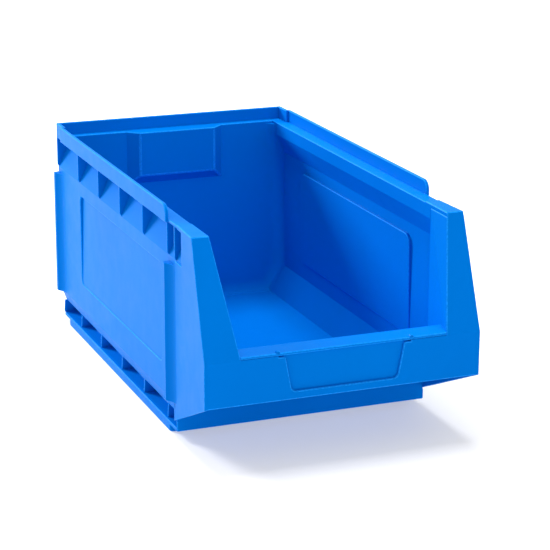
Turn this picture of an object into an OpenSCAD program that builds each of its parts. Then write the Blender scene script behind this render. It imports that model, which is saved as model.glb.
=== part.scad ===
/* [Overall] */
// Length from the front apron to the outside of the rear flange
bin_length = 375.5; // [350:0.5:400]
// Width over the guide rails and the front apron
bin_width = 207; // [200:0.5:215]
// Height from the runners to the top of the stacking flanges
bin_height = 171.5; // [165:0.5:180]

/* [Walls] */
// Thickness of the walls, ledges and aprons
wall = 2.2; // [1.8:0.1:2.6]
// How far the guide rails stand out from the side walls
rail_proud = 4.6; // [3:0.1:6]
// Thickness of the small stiffening gussets
gusset_t = 1.8; // [1.2:0.1:2.4]

/* [Stacking rim] */
// Height of the stacking flanges above the ledge
flange_rise = 10; // [8:0.5:12]
// Thickness of the stacking flanges
flange_t = 2.6; // [2:0.1:3.2]
// How far the flanges stand out from the side walls
flange_proud = 3.1; // [2.5:0.1:3.5]
// How far the ledge reaches into the bin from the side walls
ledge_reach = 7.7; // [6:0.1:9]
// Height of the upright band under the inner edge of the ledge
band_h = 10.2; // [8:0.1:12]
// Height of the slope between the upright band and the side wall
shoulder_h = 16.3; // [14:0.1:20]
// Radius of the front ends of the flanges
flange_end_r = 7; // [4:0.5:9]

/* [Foot] */
// Height of the floor inside the bin
floor_top = 10.7; // [10.4:0.1:12]
// Half width of the flat part of the floor
floor_half = 85; // [80:0.5:87]
// Height at which the sloping lower wall meets the upright wall
lower_crease = 33.7; // [30:0.1:38]
// Height of the underside of the foot flange
foot_low = 5.4; // [4:0.1:5.6]
// Half width of the foot
foot_half = 97.4; // [96:0.1:98]
// Distance of the runners' ends from the ends of the foot
runner_inset = 15; // [8:0.5:25]

/* [Front] */
// Distance of the foot front behind the apron
foot_back = 76; // [70:0.5:80]
// Height of the bottom edge of the apron
apron_low = 48.7; // [45:0.1:52]
// Height of the underside of the front lip
lip_low = 81.3; // [78:0.1:85]
// Depth of the front lip
lip_depth = 18.4; // [14:0.1:22]
// Set-back of the tops of the front posts behind the apron
post_lean = 28.6; // [24:0.1:34]
// Half width of the front opening at the lip
throat_half = 77; // [72:0.5:80]
// Distance from the apron to the rear of the front posts
post_depth = 55; // [50:0.5:56]
// Half width of the top of the label recess
label_half = 44.5; // [30:0.5:48]
// Height of the bottom edge of the label recess
label_low = 54.7; // [54:0.1:60]

/* [Sides] */
// Distance from the apron to the front end of the flanges
flange_front = 84; // [80:0.5:90]
// Distance from the apron to the first regular gusset
gusset_first = 86.5; // [84:0.5:90]
// Spacing of the regular gussets
gusset_pitch = 56.4; // [50:0.1:56.5]
// Distance from the apron to the front edge of the side panel
panel_front = 104; // [98:0.5:115]
// Distance from the apron to the rear edge of the side panel
panel_rear = 312; // [290:0.5:320]
// Height of the bottom edge of the side panel
panel_low = 50; // [44:1:60]
// Height of the top edge of the side panel
panel_high = 124; // [110:1:128]
// Corner radius of the side panel
panel_r = 5; // [3:0.5:8]
// How much shallower the side panel is at its bottom edge than at its top edge
panel_tilt = 1.6; // [0.5:0.1:1.8]
// Height of the bottom ends of the guide rails
rail_low = 28.2; // [28.2:0.1:40]
// Height of the top ends of the guide rails
rail_high = 130.4; // [120:0.1:133]
// Length of the hollowed groove in front of each guide rail
rail_groove = 13; // [9:0.5:14]

/* [Back] */
// Distance from the inside of the back wall to the outside of the rear flange
back_depth = 9.5; // [9:0.1:11]
// Half width of the grip pocket where it meets the back wall
grip_half = 42; // [30:0.5:50]
// How far the grip pocket reaches into the bin
grip_depth = 9; // [6:0.5:10]
// Height of the bottom of the grip pocket
grip_low = 116.5; // [105:0.5:120]
// Height of the sloping underside of the grip pocket
grip_rise = 8; // [5:0.5:16]

/* [Hidden] */

half_w = bin_width / 2;
wall_x = half_w - rail_proud;
wall_in = wall_x - wall;
ledge_top = bin_height - flange_rise;
ledge_low = ledge_top - wall;
ledge_in = wall_in - ledge_reach;
flange_x = wall_x + flange_proud;
flange_in = flange_x - flange_t;
corner_x = wall_x + 1;
corner_in = corner_x - flange_t;
corner_len = 20.5;
corner_front = bin_length - corner_len;
band_low = ledge_top - band_h;
shoulder_low = band_low - shoulder_h;
floor_low = floor_top - wall;
foot_top = foot_low + wall;
back_y = bin_length - back_depth;
back_out = back_y + wall;
foot_y = foot_back + wall;

// Lower wall: the outer slope, the drop lip at its foot and the step behind the lip
bevel_top = 28.2;
drop_z = 18;
drop_x = 95.2;
step_x = 91.4;
root_step = 1.6;
root_x = floor_half + root_step;
root_lap = 0.6;

// Side skirt of the front post: it flares out from the side wall to the apron
flare_y = 70;
flare = rail_proud / flare_y;
skirt_step = 1;
outer_flare = (rail_proud - skirt_step) / flare_y;
side_edge_z = 19.5;
skirt_low = 13.6;
gap_lead = 0.8;
gap_rear = post_depth - gap_lead;

// Front post: lean of its face and slope of its inner edge
lean = post_lean / (ledge_top - lip_low);
edge_slope = (ledge_in - throat_half) / (ledge_top - lip_low);
edge_flare = (ledge_in - throat_half) / post_depth;
face_t = wall * sqrt(1 + lean * lean);
slant_wall = wall + 0.1;
cap_rise = 0.8;
cap_top = ledge_top + cap_rise;
cap_rear = 64;

// Scoop: the sloping wall from the lip down to the foot front
scoop_t = 3.2;
scoop_y = lip_depth - scoop_t;
scoop_slope = (lip_low - side_edge_z) / (foot_back - scoop_y);

// Gussets under the rim and above the foot flange
gusset_ys = [for (i = [0:4]) gusset_first + gusset_pitch * i];
gusset_lead = 16.2;
gusset_foot = 2;
front_gusset_ys = [gap_rear - gusset_t, gusset_first - gusset_lead];
lower_gusset_shift = 15;

// Guide rails: thickness of the lip and of the slope behind it
rail_lip = 3.4;
rail_heel = 1.2;
front_rail_y = flare_y;
rear_rail_y = bin_length - rail_groove - rail_lip - rail_heel;

// Longer than the bin, for cutting outlines that run out of it
far = 400;

blue = [0.0, 0.47, 0.92];
deep_blue = [0.0, 0.40, 0.82];
rim_blue = [0.1, 0.56, 0.98];

// Moves shapes that are drawn with y = 0 on the apron to the bin's own origin
module from_front() {
    translate([0, -bin_length / 2, 0]) children();
}

// Extrudes an X-Z outline from y0 to y1
module along_y(y0, y1) {
    translate([0, y1, 0]) rotate([90, 0, 0]) linear_extrude(y1 - y0) children();
}

// Extrudes a Y-Z outline from x0 to x1
module along_x(x0, x1) {
    translate([x0, 0, 0]) rotate([90, 0, 90]) linear_extrude(x1 - x0) children();
}

// Extrudes an X-Y outline from z0 to z1
module along_z(z0, z1) {
    translate([0, 0, z0]) linear_extrude(z1 - z0) children();
}

module left_side() {
    mirror([1, 0, 0]) children();
}

function arc(cx, cy, r, a0, a1, steps) =
    [for (i = [0:steps]) let(a = a0 + (a1 - a0) * i / steps) [cx + r * cos(a), cy + r * sin(a)]];

// Rounded rectangle from its two corners
module rounded(lo, hi, r) {
    polygon(concat(
        arc(hi[0] - r, hi[1] - r, r, 0, 90, 6),
        arc(lo[0] + r, hi[1] - r, r, 90, 180, 6),
        arc(lo[0] + r, lo[1] + r, r, 180, 270, 6),
        arc(hi[0] - r, lo[1] + r, r, 270, 360, 6)
    ));
}

// Half widths of the flared side skirt at a distance y behind the apron: its inner face, plus the
// wall, and its outer face
function skirt_x(y) = half_w - flare * min(y, flare_y);
function skirt_out(y) = half_w - outer_flare * y;

// Plan outline inside the two side skirts
module inside_skirts(y1) {
    ys = [0, flare_y, max(flare_y, y1)];
    polygon(concat(
        [for (y = ys) [skirt_x(y) - wall, y]],
        [for (i = [2:-1:0]) [wall - skirt_x(ys[i]), ys[i]]]
    ));
}

// Floor and scoop

module floor_pan() {
    color(deep_blue) from_front()
        translate([-floor_half, foot_y, floor_low])
            cube([2 * floor_half, bin_length - foot_y, wall]);
}

function scoop_z(y) = lip_low - scoop_slope * (y - lip_depth);

module front_scoop() {
    color(deep_blue) from_front() intersection() {
        along_x(-half_w, half_w) polygon([
            [scoop_y, lip_low], [lip_depth, lip_low], [foot_y, scoop_z(foot_y)],
            [foot_y, side_edge_z], [foot_back, side_edge_z]
        ]);
        along_z(0, bin_height) inside_skirts(foot_y);
    }
}

// Front apron, lip and label holder

module label_outline(grow) {
    step = 5;
    step_h = 1;
    draft = 4.2;
    r = 4;
    low_half = label_half - draft;
    offset_z = label_low - grow;
    polygon(concat(
        [[label_half + step + grow, lip_low], [label_half + step + grow, lip_low - step_h - grow],
            [label_half + grow, lip_low - step_h - grow]],
        arc(low_half + grow - r, offset_z + r, r, -10, -90, 5),
        arc(r - low_half - grow, offset_z + r, r, 270, 190, 5),
        [[-label_half - grow, lip_low - step_h - grow], [-label_half - step - grow, lip_low - step_h - grow],
            [-label_half - step - grow, lip_low]]
    ));
}

module front_apron() {
    color(blue) from_front() difference() {
        intersection() {
            translate([-half_w, 0, apron_low]) cube([bin_width, wall, lip_low - apron_low]);
            along_z(0, bin_height) inside_skirts(foot_y);
        }
        along_y(-1, wall + 1) label_outline(0);
    }
}

module label_panel() {
    cover = 2.5;
    color(blue) from_front() along_y(wall, 2 * wall) label_outline(cover);
}

module front_lip() {
    color(rim_blue) from_front() along_z(lip_low, lip_low + wall) polygon([
        [-throat_half, 0], [throat_half, 0],
        [throat_half + edge_flare * lip_depth, lip_depth], [-throat_half - edge_flare * lip_depth, lip_depth]
    ]);
}

module label_nubs() {
    nub_x = 50;
    nub_r = 1.4;
    nub_len = 3;
    color(rim_blue) from_front() for (side = [-1, 1])
        along_y(0, nub_len) translate([side * nub_x, lip_low + wall])
            polygon(arc(0, 0, nub_r, 0, 180, 8));
}

// Foot

module foot_front() {
    color(deep_blue) from_front() along_y(foot_back, foot_y) polygon([
        [-foot_half, foot_low], [foot_half, foot_low], [foot_half, skirt_low], [wall_in, skirt_low],
        [wall_in, side_edge_z], [-wall_in, side_edge_z], [-wall_in, skirt_low], [-foot_half, skirt_low]
    ]);
}

module foot_rear() {
    corner = 0.8 * (floor_low - foot_low);
    color(deep_blue) from_front() along_y(bin_length - wall, bin_length) polygon([
        [-foot_half, floor_low], [-foot_half, foot_low + corner], [corner - foot_half, foot_low],
        [foot_half - corner, foot_low], [foot_half, foot_low + corner], [foot_half, floor_low]
    ]);
}

module foot_flange() {
    root_in = floor_half - 0.5;
    from_front() along_y(foot_y, bin_length - wall) polygon([
        [root_in, foot_low], [foot_half, foot_low], [foot_half, foot_top],
        [root_x + root_lap, foot_top], [root_x, floor_low], [root_in, floor_low]
    ]);
}

module runner() {
    runner_w = 9;
    y0 = foot_back + runner_inset;
    y1 = bin_length - runner_inset;
    end_r = 3;
    hollow_r = 1;
    from_front() difference() {
        along_z(0, foot_low) rounded([foot_half - runner_w, y0], [foot_half, y1], end_r);
        along_z(-1, foot_low - wall)
            rounded([foot_half - runner_w + wall, y0 + wall], [foot_half - wall, y1 - wall], hollow_r);
    }
}

module left_foot_flange() { color(blue) left_side() foot_flange(); }
module right_foot_flange() { color(blue) foot_flange(); }
module left_runner() { color(blue) left_side() runner(); }
module right_runner() { color(blue) runner(); }

// Back wall, grip pocket and rear rim

module back_wall() {
    color(deep_blue) from_front() difference() {
        along_y(back_y, back_out) polygon([
            [-floor_half, floor_top], [floor_half, floor_top], [wall_in, lower_crease],
            [wall_in, shoulder_low], [ledge_in, band_low], [ledge_in, ledge_low],
            [-ledge_in, ledge_low], [-ledge_in, band_low], [-wall_in, shoulder_low],
            [-wall_in, lower_crease]
        ]);
        translate([-grip_half, back_y - 1, grip_low])
            cube([2 * grip_half, wall + 2, ledge_low - grip_low + 1]);
    }
}

// Plan outline of the grip pocket, drawn in by the wall thickness when inset is 1
module grip_plan(inset) {
    t = inset * wall;
    corner = t * tan(22.5);
    polygon([
        [t - grip_half, back_out + inset], [t - grip_half, back_y + corner],
        [grip_depth - grip_half + corner, back_y - grip_depth + t],
        [grip_half - grip_depth - corner, back_y - grip_depth + t],
        [grip_half - t, back_y + corner], [grip_half - t, back_out + inset]
    ]);
}

// Height of the pocket's sloping underside at y, raised square to the slope by t
function grip_z(y, t) = let(slope = grip_rise / grip_depth)
    grip_low + slope * (back_y - y) + t * sqrt(1 + slope * slope);

// Side outline of the grip pocket with its sloping underside
module grip_profile(inset) {
    t = inset * wall;
    front_y = back_y - grip_depth + t;
    polygon([
        [front_y, grip_z(front_y, t)], [back_y, grip_z(back_y, t)],
        [back_out + inset, grip_z(back_y, t)], [back_out + inset, ledge_low + inset],
        [front_y, ledge_low + inset]
    ]);
}

module grip_pocket() {
    color(deep_blue) from_front() difference() {
        intersection() {
            along_z(0, ledge_low) grip_plan(0);
            along_x(-half_w, half_w) grip_profile(0);
        }
        intersection() {
            along_z(0, bin_height) grip_plan(1);
            along_x(-half_w, half_w) grip_profile(1);
        }
    }
}

module back_ledge() {
    bump = grip_half - grip_depth;
    color(rim_blue) from_front() along_z(ledge_low, ledge_top) polygon([
        [-corner_in, bin_length - flange_t], [-corner_in, back_y], [-grip_half, back_y],
        [-bump, back_y - grip_depth], [bump, back_y - grip_depth], [grip_half, back_y],
        [corner_in, back_y], [corner_in, bin_length - flange_t]
    ]);
}

module back_flange() {
    color(rim_blue) from_front() translate([-corner_x, bin_length - flange_t, ledge_low])
        cube([2 * corner_x, flange_t, bin_height - ledge_low]);
}

module back_gussets() {
    inner_x = 56;
    outer_x = 78;
    foot_z = shoulder_low + 4;
    tip_z = ledge_low - 3;
    tip_y = bin_length - 0.6;
    color(blue) from_front() for (x = [-outer_x, -inner_x, inner_x, outer_x])
        along_x(x - gusset_t / 2, x + gusset_t / 2) polygon([
            [back_out, foot_z], [tip_y, tip_z], [tip_y, ledge_low], [back_out, ledge_low]
        ]);
}

// Side walls

module side_wall() {
    from_front() difference() {
        translate([wall_in, foot_y, lower_crease])
            cube([wall, bin_length - foot_y, shoulder_low - lower_crease]);
        along_x(wall_in - 1, wall_x + 1)
            rounded([panel_front, panel_low], [panel_rear, panel_high], panel_r);
    }
}

// The panel leans: it is sunk by the wall thickness at the top and comes nearly flush at the bottom
module side_panel() {
    cover = 2.5;
    z0 = panel_low - cover;
    z1 = panel_high + cover;
    from_front() intersection() {
        along_y(panel_front - cover, panel_rear + cover) polygon([
            [wall_in - wall + panel_tilt, z0], [wall_in + panel_tilt, z0], [wall_in, z1], [wall_in - wall, z1]
        ]);
        union() {
            along_x(wall_in - wall, wall_in)
                rounded([panel_front - cover, z0], [panel_rear + cover, z1], panel_r + cover);
            along_x(wall_in, wall_x) rounded([panel_front, panel_low], [panel_rear, panel_high], panel_r);
        }
    }
}

module lower_wall() {
    from_front() along_y(foot_y, bin_length) polygon([
        [wall_in, lower_crease], [wall_x, lower_crease], [wall_x, bevel_top],
        [drop_x, drop_z], [step_x, drop_z], [root_x, floor_low],
        [floor_half, floor_low], [floor_half, floor_top]
    ]);
}

module shoulder() {
    from_front() along_y(post_depth, bin_length) polygon([
        [wall_in, shoulder_low], [wall_x, shoulder_low], [ledge_in + wall, band_low],
        [ledge_in + wall, ledge_low], [ledge_in, ledge_low], [ledge_in, band_low]
    ]);
}

module left_side_wall() { color(blue) left_side() side_wall(); }
module right_side_wall() { color(blue) side_wall(); }
module left_side_panel() { color(blue) left_side() side_panel(); }
module right_side_panel() { color(blue) side_panel(); }
module left_lower_wall() { color(blue) left_side() lower_wall(); }
module right_lower_wall() { color(blue) lower_wall(); }
module left_shoulder() { color(deep_blue) left_side() shoulder(); }
module right_shoulder() { color(deep_blue) shoulder(); }

// Stacking rim along the sides

module ledge() {
    from_front() along_z(ledge_low, ledge_top) polygon([
        [ledge_in, cap_rear], [corner_x, cap_rear], [corner_x, flange_front], [flange_in, flange_front],
        [flange_in, corner_front], [corner_in, corner_front], [corner_in, back_y], [ledge_in, back_y]
    ]);
}

module flange() {
    from_front() along_x(flange_in, flange_x) polygon(concat(
        [[flange_front, ledge_low], [corner_front, ledge_low], [corner_front, bin_height]],
        arc(flange_front + flange_end_r, bin_height - flange_end_r, flange_end_r, 90, 180, 6)
    ));
}

module rear_corner() {
    jog = 1.5;
    from_front() along_z(ledge_low, bin_height) polygon([
        [corner_in, corner_front], [flange_x, corner_front], [flange_x, corner_front + jog],
        [corner_x, corner_front + 2 * jog], [corner_x, bin_length - flange_t],
        [corner_in, bin_length - flange_t]
    ]);
}

module upper_gussets() {
    ys = concat(front_gusset_ys, gusset_ys, [bin_length - gusset_t]);
    from_front() for (y = ys)
        along_y(y, y + gusset_t) polygon([
            [wall_x, shoulder_low], [corner_x, shoulder_low + gusset_foot], [corner_x, ledge_low],
            [ledge_in + wall, ledge_low], [ledge_in + wall, band_low]
        ]);
}

module lower_gussets() {
    ys = [for (y = gusset_ys) y + lower_gusset_shift];
    from_front() {
        for (y = ys)
            along_y(y, y + gusset_t) polygon([
                [root_x + root_lap, foot_top], [drop_x + root_lap, foot_top], [drop_x, drop_z],
                [step_x, drop_z], [root_x, floor_low]
            ]);
        along_y(bin_length - gusset_t, bin_length) polygon([
            [root_x, floor_low], [foot_half, floor_low], [foot_half - root_lap, drop_z],
            [step_x, drop_z]
        ]);
    }
}

module left_ledge() { color(rim_blue) left_side() ledge(); }
module right_ledge() { color(rim_blue) ledge(); }
module left_flange() { color(rim_blue) left_side() flange(); }
module right_flange() { color(rim_blue) flange(); }
module left_rear_corner() { color(rim_blue) left_side() rear_corner(); }
module right_rear_corner() { color(rim_blue) rear_corner(); }
module left_upper_gussets() { color(blue) left_side() upper_gussets(); }
module right_upper_gussets() { color(blue) upper_gussets(); }
module left_lower_gussets() { color(blue) left_side() lower_gussets(); }
module right_lower_gussets() { color(blue) lower_gussets(); }

// Guide rails: a hooked lip with a hollowed groove in front of it

module guide_rail(y0) {
    steps = 8;
    tip_y = y0 + rail_groove;
    from_front() along_z(rail_low, rail_high) polygon(concat(
        [for (i = [0:steps]) let(t = i / steps) [wall_x + rail_proud * t * t, y0 + rail_groove * t]],
        [[half_w, tip_y + rail_lip], [wall_x, tip_y + rail_lip + rail_heel]]
    ));
}

module left_front_rail() { color(blue) left_side() guide_rail(front_rail_y); }
module right_front_rail() { color(blue) guide_rail(front_rail_y); }
module left_rear_rail() { color(blue) left_side() guide_rail(rear_rail_y); }
module right_rear_rail() { color(blue) guide_rail(rear_rail_y); }

// Front posts

module post_side() {
    from_front() intersection() {
        along_z(0, bin_height) polygon([
            [half_w, 0], [wall_x + skirt_step, flare_y], [wall_x, flare_y], [wall_x, foot_y],
            [wall_in, foot_y], [wall_in, flare_y], [half_w - wall, 0]
        ]);
        along_x(0, far) polygon([
            [0, apron_low], [0, lip_low], [lean * (ledge_low - lip_low), ledge_low],
            [gap_rear, ledge_low], [gap_rear, shoulder_low], [foot_y, shoulder_low],
            [foot_y, skirt_low]
        ]);
    }
}

function face_y(z) = lean * (z - lip_low);
function edge_x(z) = throat_half + edge_slope * (z - lip_low);

module post_face() {
    from_front() intersection() {
        along_x(0, far) polygon([
            [0, lip_low], [face_y(ledge_low), ledge_low],
            [face_y(ledge_low) + face_t, ledge_low], [face_t, lip_low]
        ]);
        along_y(-1, far) polygon([
            [edge_x(lip_low), lip_low], [edge_x(ledge_low), ledge_low],
            [half_w, ledge_low], [half_w, lip_low]
        ]);
        along_z(0, bin_height) inside_skirts(foot_y);
    }
}

// The inner side of a post, leaning from the slanting edge of its face back to its upright rear edge
module post_core(inset) {
    t = inset * slant_wall;
    intersection() {
        along_y(-1, far) polygon([
            [edge_x(0) + t, 0], [edge_x(bin_height) + t, bin_height],
            [half_w, bin_height], [half_w, 0]
        ]);
        along_z(0, bin_height) polygon([
            [throat_half + t - edge_flare, -1], [half_w, -1], [half_w, post_depth - t],
            [throat_half + t + edge_flare * (post_depth - t), post_depth - t]
        ]);
    }
}

module post_return() {
    from_front() difference() {
        intersection() {
            post_core(0);
            along_x(0, far) polygon([
                [face_t, lip_low], [lip_depth, lip_low], [post_depth, scoop_z(post_depth)],
                [post_depth, ledge_low], [face_y(ledge_low) + face_t, ledge_low]
            ]);
            along_z(0, bin_height) inside_skirts(foot_y);
        }
        post_core(1);
    }
}

module post_cap() {
    from_front() intersection() {
        along_x(0, far) polygon([
            [face_y(ledge_low), ledge_low], [face_y(cap_top), cap_top],
            [cap_rear, cap_top], [cap_rear, ledge_low]
        ]);
        along_z(ledge_low, cap_top) polygon([
            [ledge_in, 0], [half_w, 0], [skirt_out(cap_rear), cap_rear], [ledge_in, cap_rear]
        ]);
    }
}

module left_post_side() { color(blue) left_side() post_side(); }
module right_post_side() { color(blue) post_side(); }
module left_post_face() { color(deep_blue) left_side() post_face(); }
module right_post_face() { color(deep_blue) post_face(); }
module left_post_return() { color(blue) left_side() post_return(); }
module right_post_return() { color(blue) post_return(); }
module left_post_cap() { color(rim_blue) left_side() post_cap(); }
module right_post_cap() { color(rim_blue) post_cap(); }

floor_pan();
front_scoop();
front_apron();
label_panel();
front_lip();
label_nubs();
foot_front();
foot_rear();
back_wall();
grip_pocket();
back_ledge();
back_flange();
back_gussets();
left_side_wall();
right_side_wall();
left_side_panel();
right_side_panel();
left_lower_wall();
right_lower_wall();
left_shoulder();
right_shoulder();
left_ledge();
right_ledge();
left_flange();
right_flange();
left_rear_corner();
right_rear_corner();
left_upper_gussets();
right_upper_gussets();
left_lower_gussets();
right_lower_gussets();
left_foot_flange();
right_foot_flange();
left_runner();
right_runner();
left_front_rail();
right_front_rail();
left_rear_rail();
right_rear_rail();
left_post_side();
right_post_side();
left_post_face();
right_post_face();
left_post_return();
right_post_return();
left_post_cap();
right_post_cap();
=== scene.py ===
import math

import bmesh
import bpy
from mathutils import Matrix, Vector
from mathutils.bvhtree import BVHTree


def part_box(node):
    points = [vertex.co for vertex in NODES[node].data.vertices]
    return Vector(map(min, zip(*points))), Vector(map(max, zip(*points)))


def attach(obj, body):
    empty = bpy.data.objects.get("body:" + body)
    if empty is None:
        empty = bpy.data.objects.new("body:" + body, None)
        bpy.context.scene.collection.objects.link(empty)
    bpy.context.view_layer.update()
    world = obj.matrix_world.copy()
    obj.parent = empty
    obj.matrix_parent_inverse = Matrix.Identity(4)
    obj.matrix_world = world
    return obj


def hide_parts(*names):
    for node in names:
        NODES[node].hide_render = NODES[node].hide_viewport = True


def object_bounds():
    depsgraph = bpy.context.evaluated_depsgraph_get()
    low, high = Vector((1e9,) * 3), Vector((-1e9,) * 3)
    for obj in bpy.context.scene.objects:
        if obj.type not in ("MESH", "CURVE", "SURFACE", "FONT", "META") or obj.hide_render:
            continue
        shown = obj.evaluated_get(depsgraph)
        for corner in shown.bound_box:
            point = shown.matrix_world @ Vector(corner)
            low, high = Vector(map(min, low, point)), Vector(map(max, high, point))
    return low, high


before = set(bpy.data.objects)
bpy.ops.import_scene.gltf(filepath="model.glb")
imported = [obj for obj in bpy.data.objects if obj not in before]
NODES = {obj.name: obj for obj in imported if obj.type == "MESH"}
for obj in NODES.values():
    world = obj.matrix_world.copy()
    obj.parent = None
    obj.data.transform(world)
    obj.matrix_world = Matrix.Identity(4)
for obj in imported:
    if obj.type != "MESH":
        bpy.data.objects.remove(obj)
CAD_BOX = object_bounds()

# ---------------------------------------------------------------- sizes, in metres

EDGE_R = 0.0008          # rounding of the moulding's free edges
EDGE_RADII = {           # other roundings, for nodes whose name holds the word
    "gusset": 0.0004,
    "nub": 0.0003,
    "rail": 0.0005,
    "side_panel": 0.0018,
    "grip": 0.0025,
    "foot_front": 0.0018,
    "post_side": 0.0013,
    "rear_corner": 0.0005,
    "flange": 0.0006,
    "apron": 0.0010,
}
EDGE_STEPS = 3           # faces across a rounded edge
CORNER_R = 0.009         # hollow rounding inside the rear corners of the bin
CORNER_STEPS = 10        # faces across that rounding
SKIN = 0.00003           # how far it stands off the walls it runs into
SKIN_LAP = 0.002         # and how far it laps on to them
TOUCH = 0.00005          # a neighbour closer than this touches the edge
WELD = 1e-6              # vertices closer than this are one

SHARP = math.radians(32)         # an edge that turns more than this is rounded
CORNER_SHARP = math.radians(50)  # the hollow rounding is shaded smooth up to this turn
FLAT = math.radians(1)           # faces that turn less than this are one flat side


# ---------------------------------------------------------------- material

DEEP_BLUE = (0.0, 0.152, 0.59, 1)
PALE_BLUE = (0.0, 0.164, 0.63, 1)
# lighter blue on the rounded edges: partly rubbing wear, partly a painted highlight along each edge
WORN_AND_HIGHLIGHT_BLUE = (0.01, 0.27, 0.86, 1)
SPECULAR_BLUE = (0.0, 0.5, 1.0, 1)
FLOOR_DARK = (0.60, 0.60, 0.60, 1)
FLOOR_LIGHT = (0.61, 0.61, 0.61, 1)
WHITE = (1.0, 1.0, 1.0, 1)


def add_node(nodes, kind, values):
    """A new node with the given values set on its inputs."""
    node = nodes.new(kind)
    for name, value in values.items():
        node.inputs[name].default_value = value
    return node


def new_material(name, values):
    """A material with one Principled shader: its nodes, links, object coordinates and shader."""
    material = bpy.data.materials.new(name)
    material.use_nodes = True
    nodes, links = material.node_tree.nodes, material.node_tree.links
    nodes.clear()
    coords = nodes.new("ShaderNodeTexCoord").outputs["Object"]
    shader = add_node(nodes, "ShaderNodeBsdfPrincipled", values)
    output = nodes.new("ShaderNodeOutputMaterial")
    links.new(shader.outputs["BSDF"], output.inputs["Surface"])
    return material, nodes, links, coords, shader


def noise(nodes, links, coords, scale, detail=2.0, roughness=0.5):
    node = add_node(nodes, "ShaderNodeTexNoise", {"Scale": scale, "Detail": detail, "Roughness": roughness})
    links.new(coords, node.inputs["Vector"])
    return node.outputs["Fac"]


def remap(nodes, links, value, low, high, to_low, to_high):
    """The value carried from the range low to high over to the range to_low to to_high."""
    node = add_node(nodes, "ShaderNodeMapRange",
                    {"From Min": low, "From Max": high, "To Min": to_low, "To Max": to_high})
    links.new(value, node.inputs["Value"])
    return node.outputs["Result"]


def multiply(nodes, links, a, b):
    node = nodes.new("ShaderNodeMath")
    node.operation = "MULTIPLY"
    links.new(a, node.inputs[0])
    links.new(b, node.inputs[1])
    return node.outputs[0]


def mix_colour(nodes, links, factor, a, b):
    """Colour a where the factor is 0 and colour b where it is 1. Each is a socket or a plain colour."""
    node = nodes.new("ShaderNodeMix")
    node.data_type = "RGBA"
    links.new(factor, node.inputs["Factor"])
    for socket, colour in (("A", a), ("B", b)):
        target = [s for s in node.inputs if s.name == socket and s.type == "RGBA"][0]
        if isinstance(colour, tuple):
            target.default_value = colour
        else:
            links.new(colour, target)
    return [s for s in node.outputs if s.type == "RGBA"][0]


def add_bump(nodes, links, height, strength, distance):
    node = add_node(nodes, "ShaderNodeBump", {"Strength": strength, "Distance": distance})
    links.new(height, node.inputs["Height"])
    return node


def blue_polypropylene():
    """Moulded polypropylene with faint flow marks, a fine grain, a slight ripple and rounded edges painted
    lighter, partly as rubbing wear and partly as painted highlight.
    """
    material, nodes, links, coords, shader = new_material("blue_polypropylene", {
        "IOR": 1.49,
        "Specular IOR Level": 0.02,
        "Specular Tint": SPECULAR_BLUE,
    })

    flow = remap(nodes, links, noise(nodes, links, coords, 9.0, 3.0), 0.3, 0.7, 0.0, 1.0)
    base = mix_colour(nodes, links, flow, DEEP_BLUE, PALE_BLUE)
    # rounded edges are painted lighter, partly as wear and partly as painted highlight standing in for edge
    # glints
    edge = nodes.new("ShaderNodeAttribute")
    edge.attribute_name = "edge_wear_and_highlight"
    speckle = remap(nodes, links, noise(nodes, links, coords, 700.0), 0.35, 0.6, 0.25, 0.8)
    worn_and_highlight = multiply(nodes, links, edge.outputs["Fac"], speckle)
    links.new(mix_colour(nodes, links, worn_and_highlight, base, WORN_AND_HIGHLIGHT_BLUE), shader.inputs["Base Color"])

    scuff = noise(nodes, links, coords, 60.0, 4.0, 0.6)
    links.new(remap(nodes, links, scuff, 0.3, 0.75, 0.30, 0.42), shader.inputs["Roughness"])

    grain = add_bump(nodes, links, noise(nodes, links, coords, 1500.0), 0.08, 0.00002)
    ripple = add_bump(nodes, links, noise(nodes, links, coords, 22.0), 0.25, 0.0006)
    links.new(grain.outputs["Normal"], ripple.inputs["Normal"])
    links.new(ripple.outputs["Normal"], shader.inputs["Normal"])
    return material


def pale_floor():
    """A nearly white studio floor that glows a little, so that shadows on it stay soft."""
    material, nodes, links, coords, shader = new_material("pale_floor", {
        "Roughness": 0.9,
        "Specular IOR Level": 0.1,
        "Emission Color": WHITE,
        "Emission Strength": 0.42,
    })
    shade = noise(nodes, links, coords, 3.0)
    links.new(mix_colour(nodes, links, shade, FLOOR_DARK, FLOOR_LIGHT), shader.inputs["Base Color"])
    return material


BLUE = blue_polypropylene()
FLOOR = pale_floor()


def new_object(name, bm, material, sharp):
    """An object with bm's faces, shaded smooth where they turn less than the angle sharp."""
    mesh = bpy.data.meshes.new(name)
    bm.to_mesh(mesh)
    bm.free()
    for polygon in mesh.polygons:
        polygon.use_smooth = True
    mesh.set_sharp_from_angle(angle=sharp)
    mesh.materials.append(material)
    thing = bpy.data.objects.new(name, mesh)
    bpy.context.scene.collection.objects.link(thing)
    return thing


# ---------------------------------------------------------------- pieces from the CAD solids

def solid(node):
    """The node's mesh as a closed bmesh with one face per flat side."""
    bm = bmesh.new()
    bm.from_mesh(NODES[node].data)
    bmesh.ops.remove_doubles(bm, verts=bm.verts, dist=WELD)
    bmesh.ops.dissolve_limit(bm, angle_limit=FLAT, verts=bm.verts, edges=bm.edges)
    bmesh.ops.recalc_face_normals(bm, faces=bm.faces)
    return bm


def others_tree(node):
    """A search tree over every other node's surface."""
    points, faces = [], []
    for name, obj in NODES.items():
        if name == node:
            continue
        start = len(points)
        points += [v.co.copy() for v in obj.data.vertices]
        faces += [[start + i for i in p.vertices] for p in obj.data.polygons]
    return BVHTree.FromPolygons(points, faces)


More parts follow.
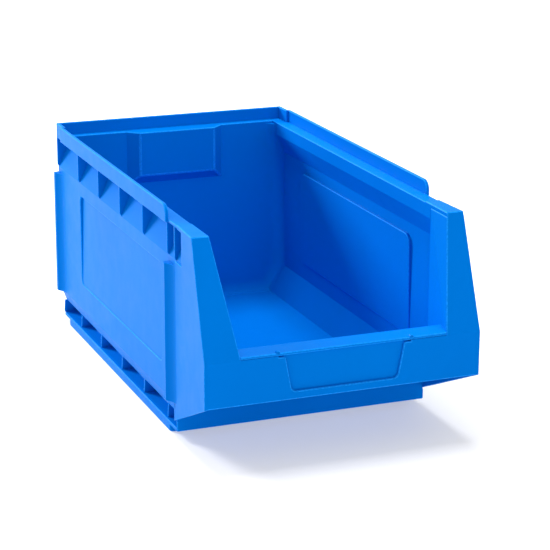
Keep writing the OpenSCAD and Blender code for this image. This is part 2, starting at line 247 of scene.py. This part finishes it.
def is_free(edge, tree):
    """True where no neighbour touches the edge along most of its length."""
    a, b = edge.verts[0].co, edge.verts[1].co
    samples = [a.lerp(b, t) for t in (0.08, 0.25, 0.5, 0.75, 0.92)]
    touched = sum(tree.find_nearest(p, TOUCH)[0] is not None for p in samples)
    return touched <= 2


def is_corner(edge):
    """True for an outward edge that turns sharply between two faces."""
    return len(edge.link_faces) == 2 and edge.is_convex and edge.calc_face_angle() > SHARP


def round_edges(bm, tree, radius):
    """Rounds the free outward edges and marks the rounded faces, which the material paints lighter as wear
    and as painted highlight.
    """
    edges = [e for e in bm.edges if is_corner(e) and is_free(e, tree)]
    # the mark for the rounded faces that are painted lighter, as wear and as painted highlight
    layer = bm.faces.layers.float.new("edge_wear_and_highlight")
    if not edges:
        return
    made = bmesh.ops.bevel(bm, geom=edges, offset=radius, segments=EDGE_STEPS, profile=0.5,
                           affect="EDGES", clamp_overlap=True, miter_outer="ARC")
    for face in made["faces"]:
        face[layer] = 1.0


def edge_radius(node):
    for word, radius in EDGE_RADII.items():
        if word in node:
            return radius
    return EDGE_R


def add_piece(node):
    """The visible piece that stands for one CAD node."""
    bm = solid(node)
    round_edges(bm, others_tree(node), edge_radius(node))
    piece = new_object("moulded_" + node, bm, BLUE, SHARP)
    normals = piece.modifiers.new("weighted_normals", "WEIGHTED_NORMAL")
    normals.keep_sharp = True
    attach(piece, "root")
    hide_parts(node)


for name in sorted(NODES):
    add_piece(name)


# ---------------------------------------------------------------- hollow rounding inside the rear corners

def wall_outline():
    """The back wall's inner face: its y, and its corners as (x, z) from one top corner to the other."""
    vertices = NODES["back_wall"].data.vertices
    inner_y = min(v.co.y for v in vertices)
    half_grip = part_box("grip_pocket")[1].x + TOUCH
    corners = {(round(v.co.x, 6), round(v.co.z, 6)) for v in vertices
               if v.co.y - inner_y < TOUCH and abs(v.co.x) > half_grip}
    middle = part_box("back_wall")[1].z * 0.6
    return inner_y, sorted(corners, key=lambda c: math.atan2(c[0], middle - c[1]))


def inset(outline, distance):
    """The open outline moved inwards by distance, mitred at its corners and kept level at its ends."""
    points = [Vector(c) for c in outline]
    normals = []
    for a, b in zip(points, points[1:]):
        along = (b - a).normalized()
        normals.append(Vector((-along.y, along.x)))
    moved = []
    for k, point in enumerate(points):
        if k in (0, len(points) - 1):
            normal = normals[0 if k == 0 else -1]
            moved.append(point + Vector((normal.x, 0)) * (distance / max(abs(normal.x), 0.2)))
        else:
            mitre = normals[k - 1] + normals[k]
            moved.append(point + mitre * (distance / (1 + normals[k - 1].dot(normals[k]))))
    return moved


def corner_section():
    """The rounding's section from wall to side, as pairs of inset and depth in front of the back wall."""
    section = [(CORNER_R + SKIN_LAP, SKIN)]
    for k in range(CORNER_STEPS + 1):
        angle = math.pi / 2 * k / CORNER_STEPS
        section.append((SKIN + CORNER_R * (1 - math.sin(angle)), SKIN + CORNER_R * (1 - math.cos(angle))))
    section.append((SKIN, CORNER_R + SKIN_LAP))
    return section


def add_corner_hollow():
    """A quarter-round strip, closed at its ends, along the back wall's corner with the sides and floor."""
    wall_y, outline = wall_outline()
    bm = bmesh.new()
    rings = []
    for distance, depth in corner_section():
        rings.append([bm.verts.new((p.x, wall_y - depth, p.y)) for p in inset(outline, distance)])
    for near, far in zip(rings, rings[1:]):
        for k in range(len(near) - 1):
            bm.faces.new((near[k], far[k], far[k + 1], near[k + 1]))
    for end in (0, -1):
        corner = bm.verts.new((outline[end][0], wall_y, outline[end][1]))
        bm.faces.new([ring[end] for ring in rings] + [corner])
    bmesh.ops.recalc_face_normals(bm, faces=bm.faces)
    hollow = new_object("moulded_corner_hollow", bm, BLUE, CORNER_SHARP)
    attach(hollow, "root")


add_corner_hollow()


# ---------------------------------------------------------------- camera

AZIMUTH = math.radians(-21.58)
ELEVATION = math.radians(16.53)
ROLL = math.radians(0.23)
DISTANCE = 1.5007
LENS = 127.0
SENSOR = 36.0
AIM_OFFSET = Vector((0.0182, -0.0084, -0.0038))   # from the middle of the bin to the middle of the view


def add_camera():
    low, high = (Vector(corner) for corner in CAD_BOX)
    aim = (low + high) / 2 + AIM_OFFSET
    outwards = Vector((math.sin(AZIMUTH) * math.cos(ELEVATION),
                       -math.cos(AZIMUTH) * math.cos(ELEVATION),
                       math.sin(ELEVATION)))
    data = bpy.data.cameras.new("camera")
    data.sensor_width = SENSOR
    data.lens = LENS
    camera = bpy.data.objects.new("camera", data)
    bpy.context.scene.collection.objects.link(camera)
    camera.location = aim + outwards * DISTANCE
    camera.rotation_euler = outwards.to_track_quat("Z", "Y").to_euler()
    camera.rotation_euler.rotate_axis("Z", ROLL)
    bpy.context.scene.camera = camera


add_camera()


# ---------------------------------------------------------------- stage and light

FLOOR_HALF = 6.0
GROUND = Vector((0, 0, 0))              # the point under the middle of the bin
SOFTBOXES = {                           # place, side of the square and power in watts
    "key": ((-1.45, 2.45, 1.25), 0.8, 120),
    "overhead": ((0.0, 0.5, 2.6), 1.4, 68),
    "front_fill": ((0.3, -2.6, 0.35), 1.6, 14),
}
BEAM_PLACE = (-0.1, -1.5, 1.0)          # a soft narrow beam through the open front on to the back wall
BEAM_CONE = math.radians(10)
BEAM_SOFTNESS = 0.15
BEAM_POWER = 34
SKY = 0.62


def add_floor():
    h = FLOOR_HALF
    bm = bmesh.new()
    bm.faces.new([bm.verts.new(c) for c in ((-h, -h, 0), (h, -h, 0), (h, h, 0), (-h, h, 0))])
    new_object("floor", bm, FLOOR, SHARP)


def add_light(name, kind, place, target, power):
    """A light of the given kind at place, facing target. Returns its settings."""
    data = bpy.data.lights.new(name, kind)
    data.energy = power
    light = bpy.data.objects.new(name, data)
    bpy.context.scene.collection.objects.link(light)
    light.location = place
    light.rotation_euler = (Vector(place) - target).to_track_quat("Z", "Y").to_euler()
    return data


def add_softboxes():
    for name, (place, side, power) in SOFTBOXES.items():
        softbox = add_light(name, "AREA", place, GROUND, power)
        softbox.shape = "SQUARE"
        softbox.size = side


def add_beam():
    low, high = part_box("back_wall")
    beam = add_light("interior_fill", "SPOT", BEAM_PLACE, low.lerp(high, 0.5), BEAM_POWER)
    beam.spot_size = BEAM_CONE
    beam.spot_blend = 1.0
    beam.shadow_soft_size = BEAM_SOFTNESS


def set_sky():
    world = bpy.data.worlds.new("studio")
    world.use_nodes = True
    background = world.node_tree.nodes["Background"]
    background.inputs["Color"].default_value = WHITE
    background.inputs["Strength"].default_value = SKY
    bpy.context.scene.world = world
    bpy.context.scene.view_settings.view_transform = "Standard"


add_floor()
add_softboxes()
add_beam()
set_sky()
